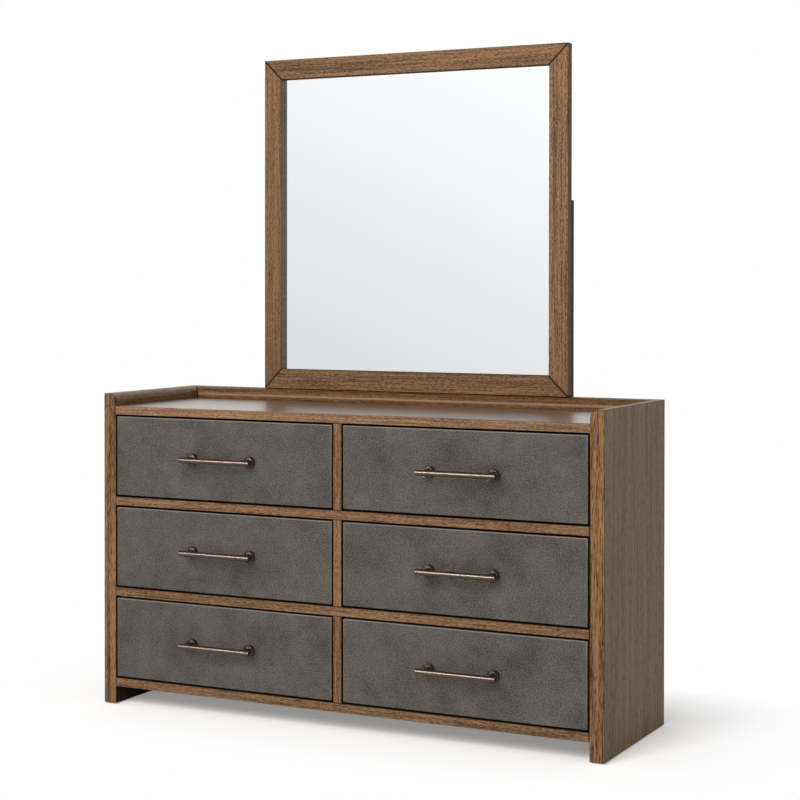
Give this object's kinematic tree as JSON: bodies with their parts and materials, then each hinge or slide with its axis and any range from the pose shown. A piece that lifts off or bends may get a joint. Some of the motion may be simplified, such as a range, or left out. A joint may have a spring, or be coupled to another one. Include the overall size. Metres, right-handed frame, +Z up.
{
  "type": "dresser with mirror",
  "caption": "Wide low dresser of stained oak with leather-wrapped drawers on telescopic slides, bar pulls, a raised gallery edge and a square framed mirror fixed upright behind the top.",
  "frame": {"origin": "on the floor, in the middle of the whole object's box from the pulls to the mirror supports", "axes": "+X to the right seen from the front, +Y to the back, +Z up; the drawers open along -Y"},
  "size_m": [1.575, 0.5512, 1.939],
  "materials": {
    "oak": "brown stained oak, satin lacquer",
    "leather": "matt grey-brown leather",
    "bronze": "satin dark bronze",
    "steel": "zinc plated",
    "drawer_wood": "clear sealed hardwood",
    "plywood": "veneered plywood, sealed",
    "dark_stain": "near-black stain, matt",
    "mirror": "silvered float glass",
    "fibreboard": "bare fibreboard",
    "glide_plastic": "black plastic"
  },
  "bodies": {
    "case": {"left_side_panel": "oak", "right_side_panel": "oak", "gallery_rail": "oak", "top_panel": "oak", "bottom_front_rail": "oak", "lower_front_rail": "oak", "upper_front_rail": "oak", "lower_centre_stile": "oak", "middle_centre_stile": "oak", "upper_centre_stile": "oak", "bottom_panel": "plywood", "centre_partition": "plywood", "floor_glides": "glide_plastic", "support_screws": "steel", "back_panel": "plywood", "rear_top_rail": "plywood", "mirror_supports": "dark_stain", "mirror_left_member": "oak", "mirror_right_member": "oak", "mirror_bottom_member": "oak", "mirror_top_member": "oak", "mirror_glass": "mirror", "mirror_backer": "fibreboard", "cabinet_members": "steel"},
    "lower_left_drawer": {"lower_left_drawer_front": "leather", "lower_left_drawer_box": "drawer_wood", "lower_left_drawer_bottom": "plywood", "lower_left_pull": "bronze", "lower_left_drawer_members": "steel"},
    "lower_left_runners": {"lower_left_intermediate_members": "steel"},
    "lower_right_drawer": {"lower_right_drawer_front": "leather", "lower_right_drawer_box": "drawer_wood", "lower_right_drawer_bottom": "plywood", "lower_right_pull": "bronze", "lower_right_drawer_members": "steel"},
    "lower_right_runners": {"lower_right_intermediate_members": "steel"},
    "middle_left_drawer": {"middle_left_drawer_front": "leather", "middle_left_drawer_box": "drawer_wood", "middle_left_drawer_bottom": "plywood", "middle_left_pull": "bronze", "middle_left_drawer_members": "steel"},
    "middle_left_runners": {"middle_left_intermediate_members": "steel"},
    "middle_right_drawer": {"middle_right_drawer_front": "leather", "middle_right_drawer_box": "drawer_wood", "middle_right_drawer_bottom": "plywood", "middle_right_pull": "bronze", "middle_right_drawer_members": "steel"},
    "middle_right_runners": {"middle_right_intermediate_members": "steel"},
    "upper_left_drawer": {"upper_left_drawer_front": "leather", "upper_left_drawer_box": "drawer_wood", "upper_left_drawer_bottom": "plywood", "upper_left_pull": "bronze", "upper_left_drawer_members": "steel"},
    "upper_left_runners": {"upper_left_intermediate_members": "steel"},
    "upper_right_drawer": {"upper_right_drawer_front": "leather", "upper_right_drawer_box": "drawer_wood", "upper_right_drawer_bottom": "plywood", "upper_right_pull": "bronze", "upper_right_drawer_members": "steel"},
    "upper_right_runners": {"upper_right_intermediate_members": "steel"}
  },
  "joints": [
    {"name": "lower_left_drawer_slide", "type": "slide", "parent": "case", "child": "lower_left_drawer", "axis": [0, -1, 0], "range_m": [0, 0.4]},
    {"name": "lower_left_runner_slide", "type": "slide", "parent": "case", "child": "lower_left_runners", "axis": [0, -1, 0], "range_m": [0, 0.2]},
    {"name": "lower_right_drawer_slide", "type": "slide", "parent": "case", "child": "lower_right_drawer", "axis": [0, -1, 0], "range_m": [0, 0.4]},
    {"name": "lower_right_runner_slide", "type": "slide", "parent": "case", "child": "lower_right_runners", "axis": [0, -1, 0], "range_m": [0, 0.2]},
    {"name": "middle_left_drawer_slide", "type": "slide", "parent": "case", "child": "middle_left_drawer", "axis": [0, -1, 0], "range_m": [0, 0.4]},
    {"name": "middle_left_runner_slide", "type": "slide", "parent": "case", "child": "middle_left_runners", "axis": [0, -1, 0], "range_m": [0, 0.2]},
    {"name": "middle_right_drawer_slide", "type": "slide", "parent": "case", "child": "middle_right_drawer", "axis": [0, -1, 0], "range_m": [0, 0.4]},
    {"name": "middle_right_runner_slide", "type": "slide", "parent": "case", "child": "middle_right_runners", "axis": [0, -1, 0], "range_m": [0, 0.2]},
    {"name": "upper_left_drawer_slide", "type": "slide", "parent": "case", "child": "upper_left_drawer", "axis": [0, -1, 0], "range_m": [0, 0.4]},
    {"name": "upper_left_runner_slide", "type": "slide", "parent": "case", "child": "upper_left_runners", "axis": [0, -1, 0], "range_m": [0, 0.2]},
    {"name": "upper_right_drawer_slide", "type": "slide", "parent": "case", "child": "upper_right_drawer", "axis": [0, -1, 0], "range_m": [0, 0.4]},
    {"name": "upper_right_runner_slide", "type": "slide", "parent": "case", "child": "upper_right_runners", "axis": [0, -1, 0], "range_m": [0, 0.2]}
  ],
  "couplings": [
    {"joint": "lower_left_runner_slide", "follows": "lower_left_drawer_slide", "ratio": 0.5},
    {"joint": "lower_right_runner_slide", "follows": "lower_right_drawer_slide", "ratio": 0.5},
    {"joint": "middle_left_runner_slide", "follows": "middle_left_drawer_slide", "ratio": 0.5},
    {"joint": "middle_right_runner_slide", "follows": "middle_right_drawer_slide", "ratio": 0.5},
    {"joint": "upper_left_runner_slide", "follows": "upper_left_drawer_slide", "ratio": 0.5},
    {"joint": "upper_right_runner_slide", "follows": "upper_right_drawer_slide", "ratio": 0.5}
  ]
}
